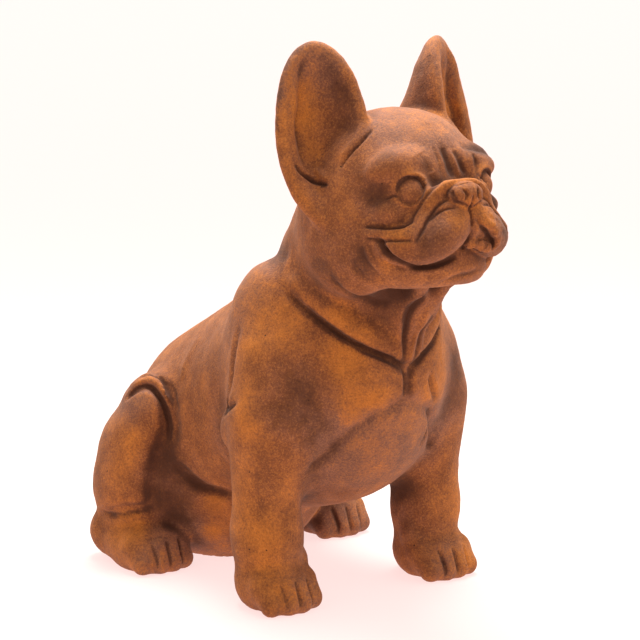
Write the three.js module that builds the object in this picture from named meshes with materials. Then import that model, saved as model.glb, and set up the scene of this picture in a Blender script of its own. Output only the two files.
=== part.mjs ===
// A sitting bulldog, cast in one piece in stone and finished as rusted iron.
// Millimetres, +Z up. The dog faces -Y, its left side is +X, and it rests on the plane z = 0.
// Both sides are alike, so every mass, roll and groove is described once, for the left side.
import * as THREE from "three";

// Driving sizes: the body
const CHEST_HALF_WIDTH = 72;
const BACK_RADIUS = 77;
const RUMP_RADIUS = 83;
const NECK_RADIUS = 58;
// Driving sizes: the legs, measured from the middle of the body and the floor
const FORE_X = 75;
const FORE_RADIUS = 24;
const FORE_TOES_Y = -86;
const HIND_X = 88;
const HIND_TOES_Y = 62;
const PAW_HALF_WIDTH = 26;
const TOE_PITCH = 12;
const TOE_RADIUS = 8;
// Driving sizes: the head
const HEAD_HALF_WIDTH = 64;
const EYE = [31.6, -148.6, 311.2];
const EYE_LOOK = [0.5, -0.85, 0.16];
const EYE_RADIUS = 10.9;
const LID_RADIUS = 12.6;
const LID_OPENING = 9.6;
const LID_OPENING_DEPTH = 5;
const LID_OPENING_END = 22;
const LID_OPENING_FLARE = 3;
const NOSE = [0, -172, 309];
const LIP_RADIUS = 15;
// Driving sizes: the ears, each a cup that faces forward and outward
const EAR_CENTRE = [61.5, -89, 349];
const EAR_FACING = [0.535, -0.803, 0.263];
const EAR_UPRIGHT = [-0.053, 0.279, 0.959];
const EAR_HALF_WIDTH = 33;
const EAR_HALF_HEIGHT = 67;
const EAR_RIM = 9;
// How finely the surface is sampled, how many triangles are kept, and the face's extra share
const GRID_STEP = 2.6;
const TRIANGLES = 9600;
const FACE_WEIGHT = 14;
const FACE_BACK_Y = -96;
const FACE_BOTTOM_Z = 236;
// The space that holds the dog
const LOW = [-126, -194, -6];
const HIGH = [126, 194, 424];

const DEGREE = Math.PI / 180;

// An ellipsoid, pitched about X and then rolled about Y
function egg(centre, radii, pitch = 0, roll = 0) {
  const [pitchCos, pitchSin] = [Math.cos(pitch * DEGREE), Math.sin(pitch * DEGREE)];
  const [rollCos, rollSin] = [Math.cos(roll * DEGREE), Math.sin(roll * DEGREE)];
  return (x, y, z) => {
    const dx = x - centre[0];
    const dy = y - centre[1];
    const dz = z - centre[2];
    const up = rollSin * dx + rollCos * dz;
    const a = (rollCos * dx - rollSin * dz) / radii[0];
    const b = (pitchCos * dy + pitchSin * up) / radii[1];
    const c = (pitchCos * up - pitchSin * dy) / radii[2];
    const reach = Math.hypot(a, b, c);
    const slope = Math.hypot(a / radii[0], b / radii[1], c / radii[2]);
    return slope > 0 ? (reach * (reach - 1)) / slope : -Math.min(...radii);
  };
}

// A sphere
function ball(centre, radius) {
  return egg(centre, [radius, radius, radius]);
}

// A round-ended limb that tapers from one radius to another
function limb(start, startRadius, end, endRadius) {
  const axis = new THREE.Vector3(end[0] - start[0], end[1] - start[1], end[2] - start[2]);
  const length2 = axis.lengthSq();
  const taper = startRadius - endRadius;
  const side2 = length2 - taper * taper;
  return (x, y, z) => {
    const dx = x - start[0];
    const dy = y - start[1];
    const dz = z - start[2];
    const along = dx * axis.x + dy * axis.y + dz * axis.z;
    const past = along - length2;
    const ox = dx * length2 - axis.x * along;
    const oy = dy * length2 - axis.y * along;
    const oz = dz * length2 - axis.z * along;
    const out2 = ox * ox + oy * oy + oz * oz;
    const along2 = along * along * length2;
    const past2 = past * past * length2;
    const turn = Math.sign(taper) * taper * taper * out2;
    if (Math.sign(past) * side2 * past2 > turn) {
      return Math.sqrt(out2 + past2) / length2 - endRadius;
    }
    if (Math.sign(along) * side2 * along2 < turn) {
      return Math.sqrt(out2 + along2) / length2 - startRadius;
    }
    return (Math.sqrt((out2 * side2) / length2) + along * taper) / length2 - startRadius;
  };
}

// A roll or groove of skin: a tube along a smooth curve, which thins towards its ends
const FOLD_STEPS = 9;
const FOLD_REACH = 20;
function fold(points, radius, endShare = 0.4) {
  const bends = points.map((p) => new THREE.Vector3(...p));
  const stops = new THREE.CatmullRomCurve3(bends, false, "catmullrom").getPoints(FOLD_STEPS);
  const swell = (i) => Math.sqrt(Math.max(Math.sin((Math.PI * i) / FOLD_STEPS), 0));
  const radii = stops.map((_, i) => radius * (endShare + (1 - endShare) * swell(i)));
  const limbs = stops.slice(1).map((stop, i) => {
    const start = stops[i].toArray();
    return limb(start, radii[i], stop.toArray(), radii[i + 1]);
  });
  const around = new THREE.Box3().setFromPoints(stops).getBoundingSphere(new THREE.Sphere());
  return (x, y, z) => {
    const { center } = around;
    const clear = Math.hypot(x - center.x, y - center.y, z - center.z) - around.radius - radius;
    if (clear > FOLD_REACH) {
      return clear;
    }
    let nearest = Infinity;
    for (const part of limbs) {
      nearest = Math.min(nearest, part(x, y, z));
    }
    return nearest;
  };
}

// Two distances merged with a fillet
function fillet(a, b, soft) {
  const overlap = Math.max(soft - Math.abs(a - b), 0) / soft;
  return Math.min(a, b) - (overlap * overlap * soft) / 4;
}

// Starts from one mass and adds or cuts the others in turn, each with a fillet of its own
function sculpt(first, steps) {
  return (x, y, z) => {
    let d = first(x, y, z);
    for (const [action, shape, soft] of steps) {
      const other = shape(x, y, z);
      d = action === "add" ? fillet(d, other, soft) : -fillet(-d, other, soft);
    }
    return d;
  };
}

// Chest, back, belly and rump, with the short tail
function torso() {
  const chest = egg([0, -30, 160], [CHEST_HALF_WIDTH, 80, 66], -20);
  const brisket = egg([0, -22, 122], [CHEST_HALF_WIDTH - 2, 76, 58], -18);
  const back = limb([0, -18, 170], BACK_RADIUS, [0, 98, 102], RUMP_RADIUS);
  const withers = egg([0, -24, 208], [52, 44, 40], -30);
  const seat = egg([0, 106, 56], [CHEST_HALF_WIDTH + 4, 62, 66]);
  const tail = egg([0, 167.3, 84], [14, 14, 18], -20);
  return sculpt(chest, [
    ["add", brisket, 8],
    ["add", back, 40],
    ["add", withers, 25],
    ["add", seat, 30],
    ["add", tail, 8],
  ]);
}

// Four toes in a row, the middle two furthest forward
function toes(middle, front) {
  const row = [-1.5, -0.5, 0.5, 1.5].map((n) => {
    const x = middle + n * TOE_PITCH;
    const back = Math.abs(n) * 4;
    const knuckle = [x, front + 19 + back, 19];
    const tip = [x, front + 9 + back, 8];
    return limb(knuckle, TOE_RADIUS + 1.5, tip, TOE_RADIUS + 0.5);
  });
  return sculpt(row[0], row.slice(1).map((toe) => ["add", toe, 1.5]));
}

// Shoulder, upper arm, elbow, foreleg, dewclaw and fore paw
function foreleg() {
  const shoulder = egg([54, -29, 190], [30, 38, 56], -16, 8);
  const upperArm = egg([73, -45, 144], [26, 32, 54], -4, 4);
  const leg = limb([FORE_X, -42, 136], FORE_RADIUS + 4, [FORE_X + 1, -42, 50], FORE_RADIUS);
  const elbow = egg([90, -21, 129], [9, 11, 15]);
  const wrist = limb([FORE_X + 1, -42, 52], FORE_RADIUS, [FORE_X, -43, 24], FORE_RADIUS - 1);
  const paw = egg([FORE_X, FORE_TOES_Y + 36, 14], [PAW_HALF_WIDTH, 28, 19]);
  const dewclaw = egg([FORE_X - 22, -51, 32], [6, 7, 9]);
  const elbowNotch = fold([[100, -25, 152], [88, -16, 146], [77, -9, 143]], 5);
  return sculpt(shoulder, [
    ["add", upperArm, 24],
    ["add", leg, 16],
    ["add", elbow, 4],
    ["add", wrist, 12],
    ["add", paw, 12],
    ["add", dewclaw, 5],
    ["add", toes(FORE_X, FORE_TOES_Y), 3],
    ["cut", elbowNotch, 3],
  ]);
}

// Thigh, heel and hind paw
function hindleg() {
  const thigh = limb([72, 100, 120], 32, [84, 113, 66], 34);
  const buttock = egg([84, 118, 84], [26, 34, 36], -14);
  const shank = egg([86, 122, 48], [25, 34, 34]);
  const heel = limb([92, 134, 22], 22, [90, 98, 18], 21);
  const paw = egg([HIND_X, HIND_TOES_Y + 36, 14], [PAW_HALF_WIDTH, 28, 19]);
  return sculpt(thigh, [
    ["add", buttock, 14],
    ["add", shank, 16],
    ["add", heel, 5],
    ["add", paw, 12],
    ["add", toes(HIND_X, HIND_TOES_Y), 3],
  ]);
}

// The folded skin of hip and flank, where the thigh meets the body
function hipFolds() {
  const hipRoll = fold([[90, 108, 140], [82, 97, 146], [81, 82, 141], [81, 72, 132]], 7, 0.6);
  const flankRoll = fold([[66, 53, 80], [58, 43, 76], [50, 33, 72]], 6);
  const hipGroove = fold([[100, 106, 133], [92, 92, 143], [88, 80, 139], [86, 71, 126]], 2.4);
  const backGroove = fold([[80, 113, 153], [81, 90, 151], [81, 75, 142], [82, 66, 130]], 2.4);
  const thighGroove = fold([[87, 72, 130], [85, 69, 115], [89, 74, 97], [93, 77, 75], [94, 82, 47]], 6.3);
  const heelGroove = fold([[114, 148, 39], [115, 121, 40], [111, 97, 48], [96, 82, 51]], 3.2);
  const flankGroove = fold([[78, 68, 82], [65, 51, 66], [54, 35, 66]], 4.5);
  return [
    ["add", hipRoll, 3],
    ["add", flankRoll, 6],
    ["cut", hipGroove, 4],
    ["cut", backGroove, 4],
    ["cut", thighGroove, 8],
    ["cut", heelGroove, 5],
    ["cut", flankGroove, 6],
  ];
}

// The collar roll around the neck, the dewlap under the chin, and the creases of the chest
function neckFolds() {
  const neck = limb([0, -44, 228], NECK_RADIUS, [0, -78, 290], NECK_RADIUS - 1);
  const throat = egg([0, -106, 234], [24, 30, 30]);
  const collarLine = [[58, -60, 238], [50, -75, 226], [36, -91, 211], [21, -100, 200], [9, -104, 190]];
  const collarRoll = fold(collarLine, 9, 0.7);
  const dewlap = fold([[11, -138, 243], [8, -122, 226], [6, -110, 206], [3, -107, 184]], 8, 0.7);
  const underCollar = [[70, -50, 238], [60, -72, 220], [38, -97, 198], [15, -108, 186], [2, -112, 176]];
  const collarGroove = fold(underCollar, 4.2);
  const breastbone = fold([[0, -112, 181], [0, -115, 168], [0, -113, 154]], 3);
  const breastLine = [[-16, -112, 150], [16, -112, 150], [34, -103, 139], [48, -86, 121], [54, -74, 108]];
  const pectoral = fold(breastLine, 3, 0.2);
  return [
    ["add", neck, 30],
    ["add", throat, 12],
    ["add", collarRoll, 6],
    ["add", dewlap, 5],
    ["cut", collarGroove, 5],
    ["cut", breastbone, 6],
    ["cut", pectoral, 9],
  ];
}

// One ear: an open cup with a rounded back, worked out in its own frame
function ear() {
  const facing = new THREE.Vector3(...EAR_FACING).normalize();
  const upright = new THREE.Vector3(...EAR_UPRIGHT).normalize();
  const across = new THREE.Vector3().crossVectors(facing, upright);
  const shell = egg([0, 0, 0], [EAR_HALF_WIDTH, EAR_HALF_HEIGHT, 26]);
  const back = limb([4, 42, -15], 15, [8, -22, -26], 30);
  const hollow = egg([1, 0, 12], [EAR_HALF_WIDTH - EAR_RIM + 1, EAR_HALF_HEIGHT - EAR_RIM - 2, 24]);
  const rimDepth = 3;
  const place = new THREE.Vector3();
  return (x, y, z) => {
    place.set(x - EAR_CENTRE[0], y - EAR_CENTRE[1], z - EAR_CENTRE[2]);
    const a = place.dot(across);
    const h = place.dot(upright);
    const n = place.dot(facing);
    const cup = fillet(-fillet(-shell(a, h, n), rimDepth - n, 6), back(a, h, n), 10);
    return -fillet(-cup, hollow(a, h, n), 5);
  };
}

// Skull, cheeks and brows, then the ears and the wrinkled face
function head() {
  const ahead = (distance) => EYE.map((v, i) => v + EYE_LOOK[i] * distance);
  const skull = egg([0, -94, 310], [HEAD_HALF_WIDTH, 60, 55]);
  const cheek = egg([42, -98, 273], [30, 46, 40]);
  const brow = egg([34, -136, 325], [18, 15, 11]);
  const muzzle = egg([0, -138, 284], [44, 32, 34]);
  const jaw = fold([[-12, -157, 260], [10, -155, 259], [24, -147, 258], [38, -132, 258]], LIP_RADIUS, 0.95);
  const smileRoll = fold([[56, -134, 281], [56, -134, 271], [51, -139, 261], [39, -147, 253]], 5);
  const browLine = [[50, -136, 326], [42, -139.5, 330], [32, -141.5, 331], [22, -143, 330], [15, -146, 325]];
  const browRoll = fold(browLine, 5.5, 0.6);
  const pouch = egg([37, -141, 297], [19, 14, 11.5]);
  const smileGroove = fold([[63, -133, 275], [61, -134, 263], [54, -139, 253], [44, -146, 247]], 2.5);
  const lid = ball(EYE, LID_RADIUS);
  const openingStart = ahead(LID_OPENING_DEPTH);
  const openingEnd = ahead(LID_OPENING_END);
  const lidOpening = limb(openingStart, LID_OPENING, openingEnd, LID_OPENING + LID_OPENING_FLARE);
  const eyeball = ball(EYE, EYE_RADIUS);
  const innerFurrow = fold([[5, -138, 346], [6, -149, 335], [9, -156, 324]], 2.6);
  const outerFurrow = fold([[15, -140, 344], [17, -149, 335], [19, -154, 325]], 2);
  const cheekRoll = fold([[57, -126, 283], [54, -140, 283], [47, -152, 283.5], [40, -160, 285]], 5, 0.5);
  const lip = fold([[4, -167, 293], [16, -169, 284], [30, -161, 277], [46, -147, 275]], LIP_RADIUS, 0.7);
  const lipTop = limb([12, -163, 296], 13, [27, -157, 288], 9.5);
  const noseLine = [[-9, -166.5, 318], [9, -167, 318], [19, -166, 314], [25.5, -164.5, 307],
    [30, -162.5, 298], [35, -163, 290], [40.5, -163, 283.5]];
  const noseRoll = fold(noseLine, 4.2, 0.85);
  const nose = egg(NOSE, [14.5, 9, 9.5]);
  const nostril = fold([[7, -181, 310], [9, -180, 309.5], [12, -177, 308]], 2.6);
  const lipGroove = fold([[17, -172, 307], [26, -168, 297], [36, -163, 285]], 2.2);
  const philtrum = fold([[0, -183, 309], [0, -182, 299], [0, -186, 285], [0, -184, 271]], 2.6);
  const underEye = fold([[60, -137, 292], [50, -150, 291], [39, -158, 291]], 2);
  const lipFold = fold([[62, -134, 284], [53, -149, 283], [44, -158, 282]], 2);
  const lipGap = limb([0, -186, 291], 1, [0, -185, 267], 9);
  const mouthLine = [[-14, -184, 266], [14, -184, 266], [34, -172, 260], [48, -155, 263], [54, -144, 273]];
  const mouth = fold(mouthLine, 3.2, 0.6);
  return sculpt(skull, [
    ["add", cheek, 22],
    ["add", brow, 14],
    ["add", muzzle, 16],
    ["add", ear(), 6],
    ["add", jaw, 8],
    ["add", smileRoll, 4],
    ["add", browRoll, 12],
    ["add", pouch, 5],
    ["cut", smileGroove, 3],
    ["add", lid, 6],
    ["cut", lidOpening, 1.5],
    ["add", eyeball, 1.5],
    ["cut", innerFurrow, 4],
    ["cut", outerFurrow, 4],
    ["add", cheekRoll, 4],
    ["add", sculpt(lip, [["add", lipTop, 8]]), 3],
    ["add", noseRoll, 3],
    ["add", nose, 3],
    ["cut", nostril, 2],
    ["cut", lipGroove, 4],
    ["cut", philtrum, 3],
    ["cut", lipGap, 2.5],
    ["cut", underEye, 3],
    ["cut", lipFold, 3],
    ["cut", mouth, 3],
  ]);
}

// The whole dog as a signed distance, cut flat at the floor
const figure = sculpt(torso(), [
  ["add", foreleg(), 18],
  ["add", hindleg(), 10],
  ...hipFolds(),
  ...neckFolds(),
  ["add", head(), 10],
]);
const casting = (x, y, z) => Math.max(figure(Math.abs(x), y, z), -z);

// Samples the field on a grid and skips the blocks that lie far from the surface
const BLOCK = 4;
const BLOCK_CLEARANCE = 1.6;
function sampleGrid(field) {
  const size = LOW.map((low, i) => Math.ceil((HIGH[i] - low) / GRID_STEP) + 1);
  const index = (i, j, k) => (k * size[1] + j) * size[0] + i;
  const place = (n, axis) => LOW[axis] + n * GRID_STEP;
  const values = new Float64Array(size[0] * size[1] * size[2]);
  const farAway = BLOCK * GRID_STEP * BLOCK_CLEARANCE;
  for (let bk = 0; bk < size[2]; bk += BLOCK) {
    for (let bj = 0; bj < size[1]; bj += BLOCK) {
      for (let bi = 0; bi < size[0]; bi += BLOCK) {
        const half = BLOCK / 2;
        const middle = field(place(bi + half, 0), place(bj + half, 1), place(bk + half, 2));
        const skipped = Math.abs(middle) > farAway;
        for (let k = bk; k < Math.min(bk + BLOCK, size[2]); k++) {
          for (let j = bj; j < Math.min(bj + BLOCK, size[1]); j++) {
            for (let i = bi; i < Math.min(bi + BLOCK, size[0]); i++) {
              values[index(i, j, k)] = skipped ? middle : field(place(i, 0), place(j, 1), place(k, 2));
            }
          }
        }
      }
    }
  }
  return { size, index, place, values };
}

// The corners of a grid cell, numbered by their X, Y and Z bits
const AXIS_BITS = [1, 2, 4];
const CORNERS = [0, 1, 2, 3, 4, 5, 6, 7];
const cornerPlace = CORNERS.map((n) => [n & 1, (n >> 1) & 1, n >> 2]);

// Whether some corners of a cell, given as bits, hang together along its edges
function connected(bits) {
  const first = CORNERS.find((n) => bits & (1 << n));
  let reached = first === undefined ? 0 : 1 << first;
  for (let before = -1; before !== reached; ) {
    before = reached;
    for (const n of CORNERS.filter((corner) => before & (1 << corner))) {
      for (const bit of AXIS_BITS) {
        reached |= bits & (1 << (n ^ bit));
      }
    }
  }
  return reached === bits;
}

// Fills cells that the surface would pass through twice, so that the net can't touch itself
const JUST_INSIDE = -1e-3;
function fillTwofoldCells({ size, index, values }) {
  const twofold = Array.from({ length: 256 }, (_, bits) => !connected(bits) || !connected(255 - bits));
  let filled = true;
  while (filled) {
    filled = false;
    for (let k = 0; k < size[2] - 1; k++) {
      for (let j = 0; j < size[1] - 1; j++) {
        for (let i = 0; i < size[0] - 1; i++) {
          const spots = cornerPlace.map(([x, y, z]) => index(i + x, j + y, k + z));
          const bits = spots.reduce((sum, spot, n) => (values[spot] < 0 ? sum | (1 << n) : sum), 0);
          if (twofold[bits]) {
            const outside = spots.filter((spot) => values[spot] >= 0);
            const nearest = outside.reduce((a, b) => (values[b] < values[a] ? b : a));
            values[nearest] = JUST_INSIDE;
            filled = true;
          }
        }
      }
    }
  }
}

// A closed net over the zero surface: one point in each grid cell that it crosses
function surfaceNet(field) {
  const grid = sampleGrid(field);
  fillTwofoldCells(grid);
  const { size, index, place, values } = grid;
  const edges = [];
  for (const a of CORNERS) {
    for (const bit of AXIS_BITS.filter((axis) => !(a & axis))) {
      edges.push([a, a | bit]);
    }
  }
  const points = [];
  const triangles = [];
  const cell = new Int32Array(values.length).fill(-1);
  for (let k = 0; k < size[2] - 1; k++) {
    for (let j = 0; j < size[1] - 1; j++) {
      for (let i = 0; i < size[0] - 1; i++) {
        const at = cornerPlace.map(([x, y, z]) => values[index(i + x, j + y, k + z)]);
        const crossed = edges.filter(([a, b]) => at[a] < 0 !== at[b] < 0);
        if (crossed.length === 0) {
          continue;
        }
        const mean = [0, 0, 0];
        for (const [a, b] of crossed) {
          const share = at[a] / (at[a] - at[b]);
          for (let axis = 0; axis < 3; axis++) {
            const [from, to] = [cornerPlace[a][axis], cornerPlace[b][axis]];
            mean[axis] += (from + share * (to - from)) / crossed.length;
          }
        }
        cell[index(i, j, k)] = points.length;
        points.push([place(i + mean[0], 0), place(j + mean[1], 1), place(k + mean[2], 2)]);
      }
    }
  }
  const join = (a, b, c, d, inward) => {
    triangles.push(inward ? [a, c, b] : [a, b, c]);
    triangles.push(inward ? [a, d, c] : [a, c, d]);
  };
  for (let k = 1; k < size[2] - 1; k++) {
    for (let j = 1; j < size[1] - 1; j++) {
      for (let i = 1; i < size[0] - 1; i++) {
        const near = (x, y, z) => cell[index(i - x, j - y, k - z)];
        const inside = values[index(i, j, k)] < 0;
        if (inside !== values[index(i + 1, j, k)] < 0) {
          join(near(0, 1, 1), near(0, 0, 1), near(0, 0, 0), near(0, 1, 0), !inside);
        }
        if (inside !== values[index(i, j + 1, k)] < 0) {
          join(near(1, 0, 1), near(1, 0, 0), near(0, 0, 0), near(0, 0, 1), !inside);
        }
        if (inside !== values[index(i, j, k + 1)] < 0) {
          join(near(1, 1, 0), near(0, 1, 0), near(0, 0, 0), near(1, 0, 0), !inside);
        }
      }
    }
  }
  return { points, triangles };
}

// A heap of edges, cheapest first
class EdgeHeap {
  items = [];

  push(item) {
    const { items } = this;
    let at = items.push(item) - 1;
    while (at > 0) {
      const parent = (at - 1) >> 1;
      if (items[parent].cost <= item.cost) {
        break;
      }
      items[at] = items[parent];
      at = parent;
    }
    items[at] = item;
  }

  pop() {
    const { items } = this;
    const top = items[0];
    const last = items.pop();
    if (items.length === 0) {
      return top;
    }
    let at = 0;
    for (;;) {
      let child = 2 * at + 1;
      if (child >= items.length) {
        break;
      }
      if (child + 1 < items.length && items[child + 1].cost < items[child].cost) {
        child += 1;
      }
      if (items[child].cost >= last.cost) {
        break;
      }
      items[at] = items[child];
      at = child;
    }
    items[at] = last;
    return top;
  }
}

const subtract = (a, b) => [a[0] - b[0], a[1] - b[1], a[2] - b[2]];
const dot = (a, b) => a[0] * b[0] + a[1] * b[1] + a[2] * b[2];
const cross = (a, b) => [
  a[1] * b[2] - a[2] * b[1],
  a[2] * b[0] - a[0] * b[2],
  a[0] * b[1] - a[1] * b[0],
];

// Folds the net's edges away, cheapest first by squared distance to the planes they stand for,
// until only the wanted number of triangles is left. The net stays closed and never folds over.
const FLIP_LIMIT = 0.25;
const SLIVER_WEIGHT = 1e-4;
const NO_VOLUME = 1e-12;
function simplify({ points, triangles }, wanted, weight) {
  const faces = triangles.map((t) => t.slice());
  const around = points.map(() => new Set());
  const forms = points.map(() => new Float64Array(10));
  const stamp = new Int32Array(points.length);
  faces.forEach((face, f) => face.forEach((v) => around[v].add(f)));
  for (const face of faces) {
    const [p, q, r] = face.map((v) => points[v]);
    const area = cross(subtract(q, p), subtract(r, p));
    const size = Math.hypot(...area);
    if (size === 0) {
      continue;
    }
    const [a, b, c] = area.map((v) => v / size);
    const d = -dot([a, b, c], p);
    const scale = size * weight(p);
    const form = [a * a, a * b, a * c, a * d, b * b, b * c, b * d, c * c, c * d, d * d];
    for (const v of face) {
      form.forEach((value, i) => {
        forms[v][i] += value * scale;
      });
    }
  }
  const cost = (q, [x, y, z]) =>
    q[0] * x * x + 2 * q[1] * x * y + 2 * q[2] * x * z + 2 * q[3] * x + q[4] * y * y +
    2 * q[5] * y * z + 2 * q[6] * y + q[7] * z * z + 2 * q[8] * z + q[9];
  const best = (q, p, r) => {
    const middle = [(p[0] + r[0]) / 2, (p[1] + r[1]) / 2, (p[2] + r[2]) / 2];
    const columns = [[q[0], q[1], q[2]], [q[1], q[4], q[5]], [q[2], q[5], q[7]]];
    const pull = (q[0] + q[4] + q[7]) * SLIVER_WEIGHT;
    columns.forEach((column, i) => {
      column[i] += pull;
    });
    const side = [-q[3], -q[6], -q[8]].map((v, i) => v + pull * middle[i]);
    const volume = dot(columns[0], cross(columns[1], columns[2]));
    if (Math.abs(volume) < NO_VOLUME) {
      return middle;
    }
    return [0, 1, 2].map((i) => {
      const swapped = columns.map((column, n) => (n === i ? side : column));
      return dot(swapped[0], cross(swapped[1], swapped[2])) / volume;
    });
  };
  const neighbours = (v) => {
    const found = new Set();
    for (const f of around[v]) {
      faces[f].forEach((n) => found.add(n));
    }
    found.delete(v);
    return found;
  };
  const heap = new EdgeHeap();
  const offer = (a, b) => {
    const form = forms[a].map((value, i) => value + forms[b][i]);
    const place = best(form, points[a], points[b]);
    const length = subtract(points[a], points[b]);
    const price = cost(form, place) + SLIVER_WEIGHT * dot(length, length);
    heap.push({ a, b, place, cost: price, stamps: stamp[a] + stamp[b] });
  };
  const folds = (v, other, place) => {
    for (const f of around[v]) {
      if (faces[f].includes(other)) {
        continue;
      }
      const before = faces[f].map((n) => points[n]);
      const after = faces[f].map((n) => (n === v ? place : points[n]));
      const was = cross(subtract(before[1], before[0]), subtract(before[2], before[0]));
      const is = cross(subtract(after[1], after[0]), subtract(after[2], after[0]));
      if (dot(was, is) <= FLIP_LIMIT * Math.hypot(...was) * Math.hypot(...is)) {
        return true;
      }
    }
    return false;
  };
  points.forEach((_, a) => {
    for (const b of neighbours(a)) {
      if (a < b) {
        offer(a, b);
      }
    }
  });
  let left = faces.length;
  while (left > wanted && heap.items.length > 0) {
    const { a, b, place, stamps } = heap.pop();
    if (stamp[a] < 0 || stamp[b] < 0 || stamp[a] + stamp[b] !== stamps) {
      continue;
    }
    const shared = [...neighbours(a)].filter((n) => neighbours(b).has(n));
    if (shared.length !== 2 || folds(a, b, place) || folds(b, a, place)) {
      continue;
    }
    for (const f of [...around[b]]) {
      if (faces[f].includes(a)) {
        faces[f].forEach((v) => around[v].delete(f));
        faces[f] = null;
        left -= 1;
      } else {
        faces[f] = faces[f].map((v) => (v === b ? a : v));
        around[a].add(f);
      }
    }
    points[a] = place;
    forms[b].forEach((value, i) => {
      forms[a][i] += value;
    });
    stamp[b] = -1;
    stamp[a] += 1;
    for (const n of neighbours(a)) {
      offer(a, n);
    }
  }
  return { points, triangles: faces.filter((face) => face !== null) };
}

// The net as a geometry, with its soles set exactly on the floor
const FLOOR_SNAP = 0.05;
function toGeometry({ points, triangles }) {
  const level = (z) => (z < FLOOR_SNAP ? 0 : z);
  const geometry = new THREE.BufferGeometry();
  const positions = points.flatMap(([x, y, z]) => [x, y, level(z)]);
  geometry.setAttribute("position", new THREE.Float32BufferAttribute(positions, 3));
  geometry.setIndex(triangles.flat());
  geometry.computeVertexNormals();
  return geometry;
}

const faceShare = ([, y, z]) => (y < FACE_BACK_Y && z > FACE_BOTTOM_Z ? FACE_WEIGHT : 1);
const net = simplify(surfaceNet(casting), TRIANGLES, faceShare);

const RUST_COLOUR = 0x8a4b27;
const rustedStone = new THREE.MeshStandardMaterial({ color: RUST_COLOUR, roughness: 0.9, metalness: 0 });
const bulldog = new THREE.Mesh(toGeometry(net), rustedStone);
bulldog.name = "bulldog";

const sculpture = new THREE.Group();
sculpture.add(bulldog);

export default sculpture;
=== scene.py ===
# A sitting bulldog, cast in one piece in stone and finished as rusted iron.
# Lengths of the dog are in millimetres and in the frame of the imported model: it faces -Y and
# stands on z = 0. The mesh itself is in metres.
import itertools
import math

import bmesh
import bpy
import numpy as np
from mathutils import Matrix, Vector, noise


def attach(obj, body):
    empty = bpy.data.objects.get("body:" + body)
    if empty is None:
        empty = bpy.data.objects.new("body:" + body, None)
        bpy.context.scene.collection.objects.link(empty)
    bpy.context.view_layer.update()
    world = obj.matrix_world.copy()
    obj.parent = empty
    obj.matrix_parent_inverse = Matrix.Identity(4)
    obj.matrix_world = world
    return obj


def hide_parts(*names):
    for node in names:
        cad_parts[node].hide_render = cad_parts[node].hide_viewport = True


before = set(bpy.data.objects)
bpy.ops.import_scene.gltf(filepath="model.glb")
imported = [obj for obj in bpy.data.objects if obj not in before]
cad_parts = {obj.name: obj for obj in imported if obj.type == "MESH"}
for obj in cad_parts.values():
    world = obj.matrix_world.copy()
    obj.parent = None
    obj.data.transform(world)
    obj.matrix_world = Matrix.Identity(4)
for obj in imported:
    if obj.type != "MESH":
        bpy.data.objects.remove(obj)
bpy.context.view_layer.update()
MM = 0.001

# The rough casting. The real one comes out of its mould as one solid piece of stone, with no
# seams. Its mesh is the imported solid, merged and cast again in even cells.
CELL = 3.0 * MM


def even_cells(name, source, cell):
    rough = bmesh.new()
    rough.from_mesh(source)
    bmesh.ops.remove_doubles(rough, verts=rough.verts, dist=0.01 * MM)
    mesh = bpy.data.meshes.new(name)
    rough.to_mesh(mesh)
    rough.free()
    piece = bpy.data.objects.new(name, mesh)
    bpy.context.scene.collection.objects.link(piece)
    remesh = piece.modifiers.new("even cells", "REMESH")
    remesh.mode = "VOXEL"
    remesh.voxel_size = cell
    bpy.context.view_layer.update()
    even = bpy.data.meshes.new_from_object(piece.evaluated_get(bpy.context.evaluated_depsgraph_get()))
    piece.modifiers.clear()
    piece.data = even
    bpy.data.meshes.remove(mesh)
    return piece


casting = even_cells("cast_bulldog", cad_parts["bulldog"].data, CELL)

# The body's masses. The sculptor built them up in clay before the mould was made: chest, back,
# rump, legs and paws run into each other with soft fillets. Each is a distance to its surface.


def egg(centre, radii, pitch=0, roll=0):
    centre, radii = np.array(centre, float), np.array(radii, float)
    pitch_cos, pitch_sin = math.cos(math.radians(pitch)), math.sin(math.radians(pitch))
    roll_cos, roll_sin = math.cos(math.radians(roll)), math.sin(math.radians(roll))
    turn = np.array([
        [roll_cos, 0, -roll_sin],
        [pitch_sin * roll_sin, pitch_cos, pitch_sin * roll_cos],
        [pitch_cos * roll_sin, -pitch_sin, pitch_cos * roll_cos],
    ])

    def distance(p):
        q = (p - centre) @ turn.T / radii
        reach = np.sqrt(np.einsum("ij,ij->i", q, q))
        q /= radii
        slope = np.sqrt(np.einsum("ij,ij->i", q, q))
        return reach * (reach - 1) / np.maximum(slope, 1e-9)

    return distance


def limb(start, start_radius, end, end_radius):
    start, axis = np.array(start, float), np.subtract(end, start).astype(float)
    length2 = axis @ axis
    taper = start_radius - end_radius
    side2 = length2 - taper * taper

    def distance(p):
        out = p - start
        along = out @ axis
        past = along - length2
        out = out * length2 - along[:, None] * axis
        out2 = np.einsum("ij,ij->i", out, out)
        along2, past2 = along * along * length2, past * past * length2
        turn = math.copysign(taper * taper, taper) * out2
        d = (np.sqrt(out2 * side2 / length2) + along * taper) / length2 - start_radius
        d = np.where(np.sign(along) * side2 * along2 < turn,
                     np.sqrt(out2 + along2) / length2 - start_radius, d)
        return np.where(np.sign(past) * side2 * past2 > turn,
                        np.sqrt(out2 + past2) / length2 - end_radius, d)

    return distance


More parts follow.
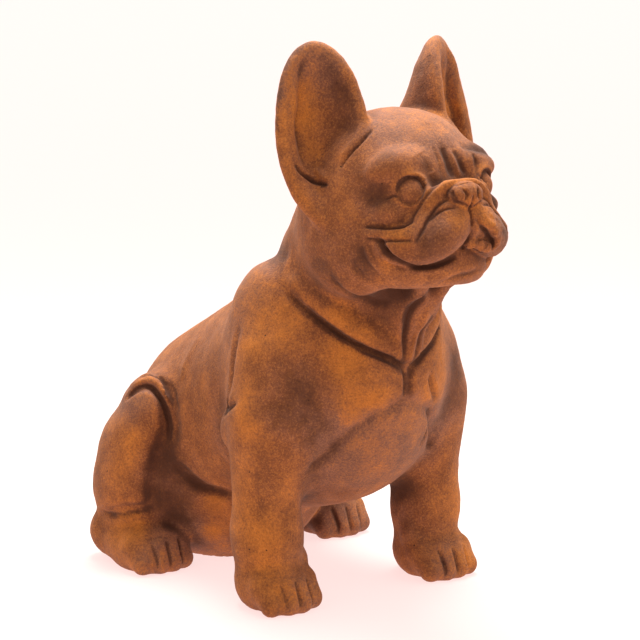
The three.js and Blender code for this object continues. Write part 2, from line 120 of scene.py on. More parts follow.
def smooth_line(points, steps):
    points = np.array(points, float)
    ends = np.vstack([2 * points[0] - points[1], points, 2 * points[-1] - points[-2]])
    stops = []
    for t in np.linspace(0, len(points) - 1, steps + 1):
        i = min(int(t), len(points) - 2)
        w = t - i
        a, b, c, d = ends[i:i + 4]
        m, n = (c - a) / 2, (d - b) / 2
        stops.append((2 * w**3 - 3 * w**2 + 1) * b + (w**3 - 2 * w**2 + w) * m
                     + (3 * w**2 - 2 * w**3) * c + (w**3 - w**2) * n)
    return np.array(stops)


def line_distance(p, stops, radii):
    nearest = np.full(len(p), np.inf)
    for a, b, r, s in zip(stops, stops[1:], radii, radii[1:]):
        axis = b - a
        out = p - a
        share = np.clip(out @ axis / (axis @ axis), 0, 1)
        out -= share[:, None] * axis
        nearest = np.minimum(nearest, np.sqrt(np.einsum("ij,ij->i", out, out)) - (r + share * (s - r)))
    return nearest


FOLD_STEPS = 14
FOLD_REACH = 20


def fold(points, radius, end_share=0.4):
    stops = smooth_line(points, FOLD_STEPS)
    swell = np.sqrt(np.sin(np.linspace(0, math.pi, FOLD_STEPS + 1)).clip(0))
    radii = radius * (end_share + (1 - end_share) * swell)
    middle = (stops.min(0) + stops.max(0)) / 2
    reach = np.linalg.norm(stops - middle, axis=1).max() + radius

    def distance(p):
        d = np.linalg.norm(p - middle, axis=1) - reach
        near = d < FOLD_REACH
        d[near] = line_distance(p[near], stops, radii)
        return d

    return distance


def fillet(a, b, soft):
    overlap = np.maximum(soft - np.abs(a - b), 0) / soft
    return np.minimum(a, b) - overlap * overlap * soft / 4


def sculpt(first, steps):
    def distance(p):
        d = first(p)
        for action, shape, soft in steps:
            d = fillet(d, shape(p), soft) if action == "add" else -fillet(-d, shape(p), soft)
        return d

    return distance


FORE_PAW = (75, -86)
HIND_PAW = (88, 62)
TOE_PITCH = 12
TOE_STEP_BACK = 4


def toes(middle, front):
    row = []
    for n in (-1.5, -0.5, 0.5, 1.5):
        x, back = middle + TOE_PITCH * n, front + TOE_STEP_BACK * abs(n)
        row.append(limb([x, back + 19, 19], 9.5, [x, back + 9, 8], 8.5))
    return sculpt(row[0], [("add", toe, 5) for toe in row[1:]])


torso = sculpt(egg([0, -30, 160], [72, 80, 66], -20), [
    ("add", egg([0, -22, 122], [70, 76, 58], -18), 8),
    ("add", limb([0, -18, 170], 77, [0, 98, 102], 83), 40),
    ("add", egg([0, -24, 208], [52, 44, 40], -30), 25),
    ("add", egg([0, 106, 56], [76, 62, 66]), 30),
    ("add", egg([0, 167.3, 84], [14, 14, 18], -20), 8),
])
foreleg = sculpt(egg([54, -29, 190], [30, 38, 56], -16, 8), [
    ("add", egg([73, -45, 144], [26, 32, 54], -4, 4), 24),
    ("add", limb([75, -42, 136], 28, [76, -42, 50], 24), 16),
    ("add", egg([90, -21, 129], [9, 11, 15]), 4),
    ("add", limb([76, -42, 52], 24, [75, -43, 24], 23), 12),
    ("add", egg([75, -50, 14], [26, 28, 19]), 12),
    ("add", egg([53, -51, 32], [6, 7, 9]), 5),
    ("add", toes(*FORE_PAW), 7),
    ("cut", fold([[100, -25, 152], [88, -16, 146], [77, -9, 143]], 5), 3),
])
hindleg = sculpt(limb([72, 100, 120], 32, [84, 113, 66], 34), [
    ("add", egg([84, 118, 84], [26, 34, 36], -14), 14),
    ("add", egg([86, 122, 48], [25, 34, 34]), 16),
    ("add", limb([92, 134, 22], 22, [90, 98, 18], 21), 5),
    ("add", egg([88, 98, 14], [26, 28, 19]), 12),
    ("add", toes(*HIND_PAW), 7),
])
hip_folds = [
    ("add", fold([[90, 108, 140], [82, 97, 146], [81, 82, 141], [81, 72, 132]], 7, 0.6), 3),
    ("add", fold([[66, 53, 80], [58, 43, 76], [50, 33, 72]], 6), 6),
    ("cut", fold([[100, 106, 133], [92, 92, 143], [88, 80, 139], [86, 71, 126]], 2.4), 4),
    ("cut", fold([[80, 113, 153], [81, 90, 151], [81, 75, 142], [82, 66, 130]], 2.4), 4),
    ("cut", fold([[87, 72, 130], [85, 69, 115], [89, 74, 97], [93, 77, 75], [94, 82, 47]], 6.3), 8),
    ("cut", fold([[114, 148, 39], [115, 121, 40], [111, 97, 48], [96, 82, 51]], 3.2), 5),
    ("cut", fold([[78, 68, 82], [65, 51, 66], [54, 35, 66]], 4.5), 6),
]
neck_folds = [
    ("add", limb([0, -44, 228], 58, [0, -78, 290], 57), 30),
    ("add", egg([0, -106, 234], [24, 30, 30]), 12),
    ("add", fold([[58, -60, 238], [50, -75, 226], [36, -91, 211], [21, -100, 200], [9, -104, 190]],
                 9, 0.7), 6),
    ("add", fold([[11, -138, 243], [8, -122, 226], [6, -110, 206], [3, -107, 184]], 8, 0.7), 5),
    ("cut", fold([[70, -50, 238], [60, -72, 220], [38, -97, 198], [15, -108, 186], [2, -112, 176]],
                 2.0), 5),
    ("cut", fold([[0, -112, 181], [0, -115, 168], [0, -113, 154]], 3), 6),
    ("cut", fold([[-16, -112, 150], [16, -112, 150], [34, -103, 139], [48, -86, 121],
                  [54, -74, 108]], 3, 0.2), 9),
]

# The head. Its skull, cheeks, brows, muzzle and the two cupped ears belong to the same casting.
# The ears are open cups with a rounded back, each worked out in a frame of its own.
EAR_CENTRE = np.array([61.5, -89, 349])
EAR_FACING = np.array([0.535, -0.803, 0.263])
EAR_UPRIGHT = np.array([-0.053, 0.279, 0.959])
EYE = np.array([31.6, -148.6, 311.2])
EYE_LOOK = np.array([0.5, -0.85, 0.16])
EYE_RADIUS = 11.1
EYE_OPENING = 9.6
OPENING_SHIFT = np.array([-0.4, -0.3, 1.3])
LID_RADIUS = 13.0
LID_SHIFT = np.array([-0.8, -0.6, 1.3])


def ear():
    facing = EAR_FACING / np.linalg.norm(EAR_FACING)
    upright = EAR_UPRIGHT / np.linalg.norm(EAR_UPRIGHT)
    axes = np.array([np.cross(facing, upright), upright, facing])
    shell = egg([0, 0, 0], [33, 67, 26])
    back = limb([4, 38, -12], 11, [8, -23, -27], 33)
    hollow = egg([1, 0, 12], [25, 56, 24])

    def distance(p):
        q = (p - EAR_CENTRE) @ axes.T
        cup = fillet(-fillet(-shell(q), 3 - q[:, 2], 6), back(q), 10)
        return -fillet(-cup, hollow(q), 5)

    return distance


flew = sculpt(fold([[4, -167, 293], [16, -169, 284], [30, -161, 277], [46, -147, 275]], 15, 0.7), [
    ("add", limb([12, -163, 296], 13, [27, -157, 288], 9.5), 8),
])
head = sculpt(egg([0, -94, 310], [64, 60, 55]), [
    ("add", egg([42, -98, 273], [30, 46, 40]), 22),
    ("add", egg([34, -136, 325], [18, 15, 11]), 14),
    ("add", egg([0, -138, 284], [44, 32, 34]), 16),
    ("add", ear(), 6),
    ("add", fold([[-12, -157, 260], [10, -155, 259], [24, -147, 258], [38, -132, 258]], 15, 0.95), 8),
    ("add", fold([[56, -134, 281], [56, -134, 271], [51, -139, 261], [39, -147, 253]], 5), 4),
    ("add", fold([[54, -139, 281], [52, -141, 272], [48, -144, 264], [42, -147, 259], [35, -151, 255]],
                 3.8, 0.5), 3),
    ("add", fold([[50, -136, 326], [42, -139.5, 330], [32, -141.5, 331], [22, -143, 330],
                  [15, -146, 325]], 5.5, 0.6), 12),
    ("add", egg([37, -141, 297], [19, 14, 11.5]), 5),
    ("add", egg(EYE + LID_SHIFT, [LID_RADIUS, LID_RADIUS, LID_RADIUS]), 6),
    ("cut", limb(EYE + 2.5 * EYE_LOOK + OPENING_SHIFT, EYE_OPENING,
                 EYE + 22 * EYE_LOOK + OPENING_SHIFT, EYE_OPENING + 2.4), 1.0),
    ("add", egg(EYE, [EYE_RADIUS, EYE_RADIUS, EYE_RADIUS]), 0.5),
    ("add", fold([[57, -126, 283], [54, -140, 283], [47, -152, 283.5], [40, -160, 285]], 5.0, 0.5), 4),
    ("add", flew, 3),
    ("add", fold([[-9, -166.2, 317.5], [9, -166.6, 317.5], [19, -165.4, 313.5], [25.5, -163.8, 306.5],
                  [30, -161.8, 298], [35, -162.3, 290], [40.5, -162.5, 283.5]], 3.2, 0.85), 8),
    ("add", egg([0, -172, 309.2], [14.5, 9, 9.5]), 2),
    ("cut", fold([[-14, -184, 266], [14, -184, 266], [34, -172, 260], [48, -155, 263]], 3.2, 0.6), 3),
])
half_dog = sculpt(torso, [
    ("add", foreleg, 18),
    ("add", hindleg, 10),
    *hip_folds,
    *neck_folds,
    ("add", head, 10),
])

# The gap in the lip and the knots in it lie on the dog's left, so they are not mirrored.
lip_gap = limb([4, -186, 293], 1.5, [12, -187, 272], 13)
lip_knot = sculpt(egg([3, -173, 276.5], [4.5, 5, 3.5]), [
    ("add", egg([10, -174.5, 275], [5, 5, 4]), 1),
    ("add", egg([16.5, -174, 271.5], [5, 5, 4]), 1),
])


def dog(p):
    folded = p.copy()
    folded[:, 0] = np.abs(folded[:, 0])
    d = -fillet(-half_dog(folded), lip_gap(p), 1.5)
    return np.maximum(fillet(d, lip_knot(p), 2), -p[:, 2])


PROBES = np.array([[1, 1, 1], [1, -1, -1], [-1, 1, -1], [-1, -1, 1]], float)
PROBE_REACH = 0.35
STEP_LIMIT = 3.0


def slope_of(p, reach=PROBE_REACH):
    value, slope = np.zeros(len(p)), np.zeros((len(p), 3))
    for probe in PROBES:
        d = dog(p + reach * probe)
        value += d / 4
        slope += d[:, None] * probe / (4 * reach)
    return value, slope


def settle(p, passes):
    for _ in range(passes):
        value, slope = slope_of(p)
        size2 = np.maximum(np.einsum("ij,ij->i", slope, slope), 0.3)
        p = p - np.clip(value / size2, -STEP_LIMIT, STEP_LIMIT)[:, None] * slope
    return p


# Trued up to its forms. The head, paws, hip folds and collar are worked finer than the rest, so the
# mesh is split there, once more over the face, and laid on the forms each time.


def places(mesh):
    flat = np.empty(3 * len(mesh.vertices))
    mesh.vertices.foreach_get("co", flat)
    return flat.reshape(-1, 3) / MM


def place(mesh, p):
    mesh.vertices.foreach_set("co", (p * MM).ravel())
    mesh.update()


def head_and_paws(p):
    x, y, z = np.abs(p[:, 0]), p[:, 1], p[:, 2]
    return ((z > 232) & (y < -84)) | (z > 300) | ((z < 34) & (x > 45) & (y < 112) & (y > -92))


def lined_body(p):
    x, y, z = np.abs(p[:, 0]), p[:, 1], p[:, 2]
    hip = (x > 72) & (y > 58) & (y < 116) & (z > 96) & (z < 162)
    chest = (x < 66) & (y < -52) & (z > 150) & (z < 236)
    return hip | chest


def face(p):
    return (p[:, 1] < -122) & (p[:, 2] > 246) & (p[:, 2] < 350)


EVENING_PASSES = 2


def split(mesh, region):
    inside = region(places(mesh))
    fine = bmesh.new()
    fine.from_mesh(mesh)
    fine.verts.ensure_lookup_table()
    edges = [e for e in fine.edges if inside[e.verts[0].index] and inside[e.verts[1].index]]
    bmesh.ops.subdivide_edges(fine, edges=edges, cuts=1, use_grid_fill=True)
    for _ in range(EVENING_PASSES):
        bmesh.ops.smooth_vert(fine, verts=fine.verts, factor=0.5, use_axis_x=True, use_axis_y=True,
                              use_axis_z=True)
    fine.to_mesh(mesh)
    fine.free()


place(casting.data, settle(places(casting.data), 3))
for region in (lined_body, head_and_paws, face):
    split(casting.data, region)
    place(casting.data, settle(places(casting.data), 3))
casting.data.polygons.foreach_set("use_smooth", [True] * len(casting.data.polygons))

# Tool lines. Creases, wrinkles and toe grooves were pressed into the clay with a wire tool, and
# fine rolls laid on it. Each line has its points, a half width and a height, below nought for a crease.
# Twin lines are mirrored and own lines are not. Hollows are soft forms, which don't count as creases
# in the finish.
GROOVE_SHOULDER = 0.12
LINE_STEPS = 20


def tooled(p, lines):
    lift = np.zeros(len(p))
    for points, width, height in lines.values():
        stops = settle(smooth_line(points, LINE_STEPS), 3)
        middle = (stops.min(0) + stops.max(0)) / 2
        reach = np.linalg.norm(stops - middle, axis=1).max() + 4 * width
        near = np.flatnonzero(np.linalg.norm(p - middle, axis=1) < reach)
        out = np.full(len(near), np.inf)
        fade = np.zeros(len(near))
        ends = 0.15 + 0.85 * np.sqrt(np.sin(np.linspace(0, math.pi, LINE_STEPS + 1)).clip(0))
        for a, b, e, f in zip(stops, stops[1:], ends, ends[1:]):
            share = np.clip((p[near] - a) @ (b - a) / ((b - a) @ (b - a)), 0, 1)
            d = np.linalg.norm(p[near] - a - share[:, None] * (b - a), axis=1)
            closer = d < out
            out[closer] = d[closer]
            fade[closer] = (e + share * (f - e))[closer]
        u = out / width
        shape = np.exp(-u**1.6) - GROOVE_SHOULDER * np.exp(-((u - 2.1) / 0.8)**2) * (height < 0)
        lift[near] += height * fade * shape
    return lift


twin_lines = {
    "mouth": ([[57, -146, 281], [55.5, -151, 275], [53, -154, 270], [47, -157, 265.5],
         [38, -159, 262.5], [29, -162, 261]], 2.1, -6.0),
    "over the cheek roll": ([[60, -135, 289], [56, -141, 289], [50, -150, 288.5], [44, -157, 289],
         [38, -162, 293]], 1.3, -2.2),
    "under the cheek roll": ([[62, -138, 280], [56, -148, 279.5], [49, -159, 280],
         [43, -167, 281]], 1.2, -2.0),
    "inside the nose roll": ([[16, -172, 308], [22, -170, 304.5], [27, -169, 299], [31, -168, 293],
         [36, -169, 286.5], [42, -169, 279.5]], 1.1, -2.0),
    "outside the nose roll": ([[17, -165, 321], [25, -166, 315], [30, -163, 307], [35, -160, 297],
         [39, -162, 290]], 1.2, -1.3),
    "top of the flew": ([[12, -177, 302], [19, -173, 300.5], [25, -171, 298],
         [31, -170, 292.5]], 1.0, -1.6),
    "under the nose wing": ([[15, -174, 308], [8, -179, 304], [2, -180, 301]], 1.0, -1.8),
    "parting of the nose": ([[0, -183, 311], [0, -183, 304], [0, -181, 297],
         [0, -184, 288]], 1.0, -2.2),
    "nostril": ([[7.5, -179, 315.5], [5.5, -180, 312.5], [5, -180, 310], [6.5, -180, 307]], 1.1, -2.8),
    "side of the nose": ([[13.5, -173, 314.5], [13.5, -174.5, 311], [12, -177, 307.5]], 1.5, -2.4),
    "top of the nose": ([[-11, -173, 318], [-3, -174, 320], [3, -174, 320],
         [11, -173, 318]], 0.9, -1.2),
    "over the nose roll": ([[-12, -166, 324], [0, -166, 325.5], [12, -166, 324]], 1.0, -1.2),
    "corner of the eye": ([[50, -145, 309.5], [46, -149, 310], [43, -152, 309]], 0.9, -1.3),
    "under the collar roll": ([[64, -55, 231], [56, -71, 219], [49, -80, 211], [38, -91, 200],
         [25, -101, 194], [12, -106, 188], [3, -109, 178]], 1.4, -2.2),
    "foot of the dewlap": ([[3, -110, 178], [2, -110, 168], [2, -110, 158]], 2.2, -2.2),
    "ear notch": ([[36, -113, 353], [44, -113, 346], [50, -112, 341], [54, -110, 335],
         [59, -107, 326]], 1.1, -3.0),
    "ear notch roll": ([[38, -106, 357], [46, -108, 349], [53, -107, 341], [57, -105, 334]], 2.2, 1.5),
    "ear slit": ([[81, -85, 329], [78, -86, 323], [70, -88, 317], [66, -95, 315],
         [65, -101, 314]], 1.5, -3.2),
    "ear slit curl": ([[66, -86, 324], [64, -92, 321], [65, -99, 318]], 2.4, 3.0),
    "elbow": ([[104, -41, 155], [101, -28, 147], [95, -16, 141]], 2.0, -4.5),
    "hock": ([[112, 128, 40], [111, 107, 42], [103, 91, 46], [91, 85, 49]], 1.7, -2.4),
    "under the hip fold": ([[98, 106, 135], [94, 99, 142], [89, 91, 143], [87, 81, 137], [84, 76, 127],
         [82, 74, 115], [82, 76, 102]], 1.7, -3.0),
    "over the hip fold": ([[90, 103, 148], [85, 96, 152], [81, 88, 148], [82, 75, 139],
         [81, 72, 130]], 1.7, -2.6),
    "hip fold": ([[94, 106, 143], [90, 97, 147], [87, 86, 147], [86, 77, 140],
         [82, 74, 131]], 2.4, 0.8),
}
TOE_GROOVES = {"inner": (-1, -2.8), "middle": (0, -2.8), "outer": (1, -1.8)}
for paw, (middle, front) in (("fore", FORE_PAW), ("hind", HIND_PAW)):
    for groove, (n, height) in TOE_GROOVES.items():
        x, back = middle + TOE_PITCH * n, front + TOE_STEP_BACK * abs(n) / 2
        twin_lines[f"{paw} paw, {groove} groove"] = (
            [[x, back + 12, 24], [x, back + 6, 18], [x, back + 2, 11], [x, back + 2, 5]], 1.4, height)
    twin_lines[f"{paw} paw, knuckles"] = (
        [[middle + 22, front + 26, 28], [middle + 14, front + 17, 26], [middle, front + 13, 27],
         [middle - 10, front + 12, 25]], 1.7, -0.6)
twin_hollows = {
    "ear cup": ([[64, -73, 401], [68, -72, 394], [68, -71, 382], [69, -72, 367], [72, -74, 357],
         [72, -77, 344], [72, -80, 334], [71, -83, 327]], 3.0, -2.8),
    "ear rim": ([[71, -70, 402], [76, -70, 392], [76, -70, 367], [79, -75, 350],
         [79, -81, 332]], 3.2, 1.3),
    "brisket edge": ([[0, -109, 155], [20, -105, 147], [33, -96, 137], [42, -86, 125], [50, -74, 111],
         [63, -71, 102]], 3.0, -1.8),
    "under the jowl": ([[65, -106, 252], [52, -109, 237], [32, -107, 229], [20, -118, 231]], 3.2, -2.5),
    "behind the shoulder": ([[88, -24, 206], [92, -24, 184], [95, -25, 168],
         [98, -24, 156]], 2.8, -3.6),
    "nape": ([[58, -46, 256], [46, -21, 251], [26, 2, 247], [0, 12, 245]], 9.0, -4.5),
    "loin ridge": ([[59, 66, 183], [68, 66, 171], [73, 67, 159], [77, 64, 151]], 5.0, 1.5),
    "flank fold": ([[71, 66, 76], [64, 57, 68], [56, 47, 64], [50, 36, 63]], 3.0, -2.5),
    "outside the smile": ([[61, -134, 276], [61, -135, 269], [58, -138, 261],
         [49, -142, 253]], 3.2, -2.2),
    "jowl": ([[64, -128, 267], [60, -130, 258], [52, -134, 248]], 3.4, -1.5),
}
own_hollows = {
    "near brow": ([[-21, -148, 338], [-18, -151, 331], [-16, -154, 324]], 6.5, -1.8),
    "far pouch": ([[45, -149, 308], [47, -149, 300], [43, -156, 293]], 7.5, -6.5),
    "far jaw": ([[41, -152, 262], [37, -155, 256], [30, -160, 252]], 6.0, -3.5),
    "forehead furrow": ([[2, -128, 358], [-1, -140, 346], [0, -150, 330]], 8.0, -1.4),
    "far brow": ([[18, -146, 342], [34, -146, 339], [45, -142, 333], [52, -136, 327]], 6.5, -4.2),
    "far lip": ([[10, -184, 291], [17, -183, 286], [23, -180, 279], [25, -177, 273]], 4.0, 1.6),
}
own_lines = {
    "middle of the mouth": ([[-38, -159, 262.5], [-30, -161, 261.2], [-22, -166, 261.5],
         [-14, -169, 264], [-6, -171, 267]], 1.9, -4.4),
    "first frown": ([[3, -144, 341], [3, -149, 332], [3, -152, 326], [3, -155, 320]], 2.5, -2.5),
    "second frown": ([[11, -147, 339], [12, -151, 331], [13, -153, 326], [15, -154, 321]], 2.4, -2.5),
    "frown roll": ([[8, -146, 339], [8, -151, 331], [8, -155, 322]], 2.4, 1.2),
    "far brow wrinkle": ([[26, -150, 335], [26, -153, 328], [23, -158, 319]], 1.8, -1.4),
    "near frown": ([[-5, -144, 342], [-5, -149, 333], [-7, -154, 322]], 1.8, -0.7),
    "edge of the lip gap": ([[3, -182, 294], [7, -181, 288], [12, -180, 284], [16, -179, 279],
         [20, -178, 276], [21, -175, 271]], 1.3, -3.2),
    "near lip knot": ([[0, -173, 274], [4, -176, 276], [8, -176, 273.5]], 1.7, 2.2),
    "far lip knot": ([[9, -176, 272.5], [13, -176, 275], [17, -176, 271.5]], 1.7, 2.2),
    "under the lip knots": ([[-1, -172, 271], [8, -174, 269], [18, -174, 268]], 1.3, -2.6),
    "near dewlap roll": ([[-16, -122, 218], [-11, -116, 203], [-7, -113, 187]], 2.4, 2.0),
    "dewlap cleft": ([[-8, -138, 236], [-13, -128, 224], [-9, -118, 207], [-4, -111, 184]], 2.4, -5.0),
    "far dewlap roll": ([[-2, -134, 226], [1, -119, 205], [1, -110, 183]], 2.6, 2.0),
    "far armpit": ([[31, -99, 143], [35, -92, 127], [31, -89, 111]], 2.2, -2.4),
    "chin": ([[-16, -164, 248], [-6, -169, 252], [5, -170, 253], [17, -168, 255]], 2.4, -1.5),
    "far chest crease": ([[22, -110, 170], [27, -108, 160], [36, -101, 148]], 2.6, -3.6),
    "far dewlap crease": ([[6, -128, 222], [7, -116, 202], [4, -110, 184]], 2.4, -2.4),
}
HEAD_LEAN = 2.2
LEAN_FROM = 318
LEAN_RISE = 70
NORMAL_REACH = 0.8
RAGGED_LIP = np.array([20, -177, 284])
RAGGED_REACH = np.array([12, 12, 15])


def normals_of(p):
    slope = slope_of(p, NORMAL_REACH)[1]
    return slope / np.linalg.norm(slope, axis=1)[:, None]


def mirrored(p):
    return p * np.array([-1, 1, 1]) * (p[:, :1] < 0) + p * (p[:, :1] >= 0)


def lumps(p, size, height):
    return height * np.array([noise.noise(Vector(v)) for v in p / size])


dressed = places(casting.data)
outward = normals_of(dressed)
tool_lift = tooled(mirrored(dressed), twin_lines) + tooled(dressed, own_lines)
hollow_lift = tooled(mirrored(dressed), twin_hollows) + tooled(dressed, own_hollows)
ragged = np.exp(-(((dressed - RAGGED_LIP) / RAGGED_REACH)**2).sum(1))
hand_lift = lumps(dressed, 16, 0.5) + lumps(dressed, 5, 0.22) + ragged * lumps(dressed, 4.5, 1.8)
dressed += outward * (tool_lift + hollow_lift + hand_lift)[:, None]
lean = ((dressed[:, 2] - LEAN_FROM) / LEAN_RISE).clip(0, 1)
dressed[:, 0] += HEAD_LEAN * lean * lean * (3 - 2 * lean)
dressed[:, 2] = dressed[:, 2].clip(0)
place(casting.data, dressed)

# The finish, taken as an iron-rich paste that was left to rust on the stone: dark brown and painted
# shade in the hollows, orange and painted highlights on the rubbed forms, purple-brown in broad clouds,
# with fine speckle and pinholes.
# The orange also stands in for painted highlights on the lit ridges. The dark brown also stands in for
# painted shade in hollows, creases and under the jaw.
FRESH_RUST_AND_HIGHLIGHT = (0.50, 0.155, 0.024, 1)
OLD_RUST = (0.27, 0.083, 0.026, 1)
DARK_RUST_AND_SHADE = (0.085, 0.029, 0.014, 1)
PLUM_RUST = (0.26, 0.105, 0.060, 1)
PALE_GRAIN = (0.60, 0.235, 0.065, 1)
PINHOLE = (0.02, 0.01, 0.007, 1)
# Orange rust on the rubbed forms. The marks on the brow, flews, cheek rolls and collar roll are also
# painted highlights.
fresh_rust_and_highlight_marks = {
    "face": [([36, -139, 341], 14, 0.4), ([17, -181, 293], 9, 0.6), ([49, -160, 284], 8, 0.7),
        ([45, -167, 274], 8, 0.5), ([49, -148, 266], 7, 0.6), ([51, -138, 252], 8, 0.5),
        ([64, -124, 296], 18, 0.3), ([5, -178, 301], 6, 0.6)],
    "ears": [([59, -73, 365], 14, 0.35), ([78, -75, 364], 12, 0.4), ([60, -85, 330], 12, 0.4),
        ([30, -102, 359], 9, 0.8), ([63, -71, 379], 10, 0.6), ([66, -73, 358], 10, 0.6),
        ([66, -79, 337], 10, 0.6), ([66, -95, 315], 6, 0.5)],
    "neck and shoulders": [([64, -67, 265], 16, 0.3), ([44, -94, 219], 13, 1.0),
        ([30, -105, 208], 11, 0.6), ([75, -52, 220], 26, 0.6), ([92, -43, 192], 13, 0.7),
        ([46, -96, 187], 15, 0.9)],
    "chest and flanks": [([82, 21, 143], 18, 0.3), ([88, -62, 120], 22, 0.25),
        ([99, -49, 164], 13, 0.5), ([104, -52, 140], 13, 0.5), ([42, -100, 158], 15, 0.7),
        ([25, -108, 157], 11, 0.7), ([52, -73, 111], 8, 0.5)],
    "forelegs": [([75, -71, 100], 14, 0.4), ([87, -79, 13], 14, 0.6), ([98, -38, 90], 20, 0.3),
        ([96, -45, 72], 22, 0.35), ([95, -62, 55], 18, 0.6), ([92, -62, 33], 16, 0.5)],
    "haunches": [([51, 73, 19], 14, 0.4), ([107, 93, 32], 12, 0.5), ([106, 90, 104], 14, 0.6),
        ([110, 91, 80], 14, 0.5), ([106, 96, 35], 18, 0.9), ([57, 51, 53], 11, 0.9),
        ([51, 62, 30], 10, 0.7)],
}
# Dark rust, and painted shade where shade falls: between the foreleg and the flank, under the jaw and
# jowl, in the thigh crease, behind the eye and at the mouth.
dark_rust_and_shade_marks = {
    "face": [([53, -133, 306], 12, 0.6), ([27, -177, 291], 9, 0.7), ([40, -141, 339], 13, 0.9),
        ([46, -152, 302], 9, 0.3), ([54, -153, 272], 5, 0.9), ([46, -157, 265], 5, 0.9),
        ([36, -159, 262], 5, 0.8), ([60, -133, 261], 18, 0.5), ([51, -136, 313], 14, 0.4),
        ([62, -125, 275], 20, 0.4), ([40, -167, 270], 11, 0.6), ([33, -172, 281], 11, 0.7),
        ([30, -171, 268], 9, 0.5), ([24, -176, 284], 10, 0.3)],
    "ears": [([44, -88, 372], 13, 0.2), ([42, -97, 354], 11, 0.5)],
    "neck and shoulders": [([71, -99, 262], 18, 0.7), ([63, 60, 181], 26, 0.3),
        ([26, -111, 230], 20, 0.8), ([19, -125, 232], 18, 0.8), ([65, -103, 248], 12, 0.6),
        ([62, -80, 250], 16, 0.6)],
    "chest and flanks": [([73, -78, 169], 20, 0.8), ([77, -78, 144], 20, 0.8), ([80, 2, 125], 18, 0.8),
        ([77, 10, 148], 16, 0.5), ([58, -83, 135], 14, 0.6), ([58, -71, 104], 15, 0.5),
        ([76, 9, 106], 16, 0.4), ([88, -69, 108], 14, 0.3)],
    "forelegs": [([94, -59, 88], 14, 0.25), ([52, -52, 68], 15, 0.6), ([50, -49, 44], 15, 0.6)],
    "haunches": [([87, 80, 71], 18, 0.7), ([85, 78, 71], 24, 1.0), ([76, 74, 56], 20, 0.9),
        ([87, 80, 95], 14, 0.7)],
}
plum_marks = {
    # On top of the skull the purple-brown cloud is also a painted pale highlight.
    "face": [([8, -122, 358], 23, 1.2), ([24, -172, 286], 14, 0.2)],
    "ears": [([60, -80, 404], 24, 0.9), ([88, -76, 392], 14, 0.7), ([76, -73, 372], 12, 0.6)],
    "neck and shoulders": [([62, -16, 232], 26, 0.7)],
    "chest and flanks": [([22, -95, 118], 36, 1.2)],
    "forelegs": [([75, -82, 10], 18, 0.7)],
    "haunches": [([48, 77, 14], 18, 0.8), ([72, 73, 16], 22, 0.8), ([92, 104, 132], 22, 0.8),
        ([96, 70, 10], 16, 0.7)],
}


def marked(p, marks):
    amount = np.zeros(len(p))
    for middle, reach, strength in itertools.chain(*marks.values()):
        out = p - np.array(middle, float)
        amount += strength * np.exp(-np.einsum("ij,ij->i", out, out) / reach**2)
    return amount.clip(0, 1)


def closeness(p, outward, reach):
    return (1 - dog(p + abs(reach) * outward) / reach).clip(0, 1)


def keep(name, values):
    layer = casting.data.attributes.new(name, "FLOAT", "POINT")
    layer.data.foreach_set("value", values.astype(np.float32))


folded = mirrored(dressed)
keep("fresh_rust_and_highlight", marked(folded, fresh_rust_and_highlight_marks))
keep("dark", marked(folded, dark_rust_and_shade_marks))
keep("plum", marked(folded, plum_marks))
# Painted shade: hollow, valley and crease measure how closed in the surface is at 12 mm, 32 mm and 3
# mm. They darken the colour there, partly as dark rust and partly as the shade that falls in them.
keep("hollow", closeness(dressed, outward, 12))
keep("valley", closeness(dressed, outward, 32))
keep("rubbed", closeness(dressed, -outward, -6))
keep("crease", (closeness(dressed, outward, 3) - 0.6 * tool_lift.clip(-2, 1)).clip(0, 1))

TRIANGLES = 190000
thin = casting.modifiers.new("thinned where it is plain", "DECIMATE")
thin.ratio = TRIANGLES / sum(len(face.vertices) - 2 for face in casting.data.polygons)
bpy.context.view_layer.update()
thinned = bpy.data.meshes.new_from_object(casting.evaluated_get(bpy.context.evaluated_depsgraph_get()))
casting.modifiers.clear()
casting.data = thinned

rust = bpy.data.materials.new("rusted_stone")
rust.use_nodes = True
nodes, links = rust.node_tree.nodes, rust.node_tree.links
where = nodes.new("ShaderNodeTexCoord").outputs["Object"]


def feed(socket, value):
    if isinstance(value, bpy.types.NodeSocket):
        links.new(value, socket)
    else:
        socket.default_value = value


def mark(name):
    layer = nodes.new("ShaderNodeAttribute")
    layer.attribute_name = name
    return layer.outputs["Fac"]


def grain(scale, detail=2.0, roughness=0.5):
    texture = nodes.new("ShaderNodeTexNoise")
    feed(texture.inputs["Vector"], where)
    feed(texture.inputs["Scale"], scale)
    feed(texture.inputs["Detail"], detail)
    feed(texture.inputs["Roughness"], roughness)
    return texture.outputs["Fac"]


def maths(operation, a, b=0.0):
    sum_node = nodes.new("ShaderNodeMath")
    sum_node.operation = operation
    feed(sum_node.inputs[0], a)
    feed(sum_node.inputs[1], b)
    return sum_node.outputs[0]


def weighed(*pairs):
    total = None
    for value, weight in pairs:
        part = maths("MULTIPLY", value, weight)
        total = part if total is None else maths("ADD", total, part)
    return total


def rise(value, low, high, top=1.0, bottom=0.0):
    ramp = nodes.new("ShaderNodeMapRange")
    ramp.interpolation_type = "SMOOTHSTEP"
    feed(ramp.inputs["Value"], value)
    for name, number in zip(("From Min", "From Max", "To Min", "To Max"), (low, high, bottom, top)):
        feed(ramp.inputs[name], number)
    return ramp.outputs["Result"]


def blend(mask, a, b, mode="MIX"):
    mix = nodes.new("ShaderNodeMix")
    mix.data_type = "RGBA"
    mix.blend_type = mode
    feed(mix.inputs["Factor"], mask)
    feed(mix.inputs[6], a)
    feed(mix.inputs[7], b)
    return mix.outputs[2]


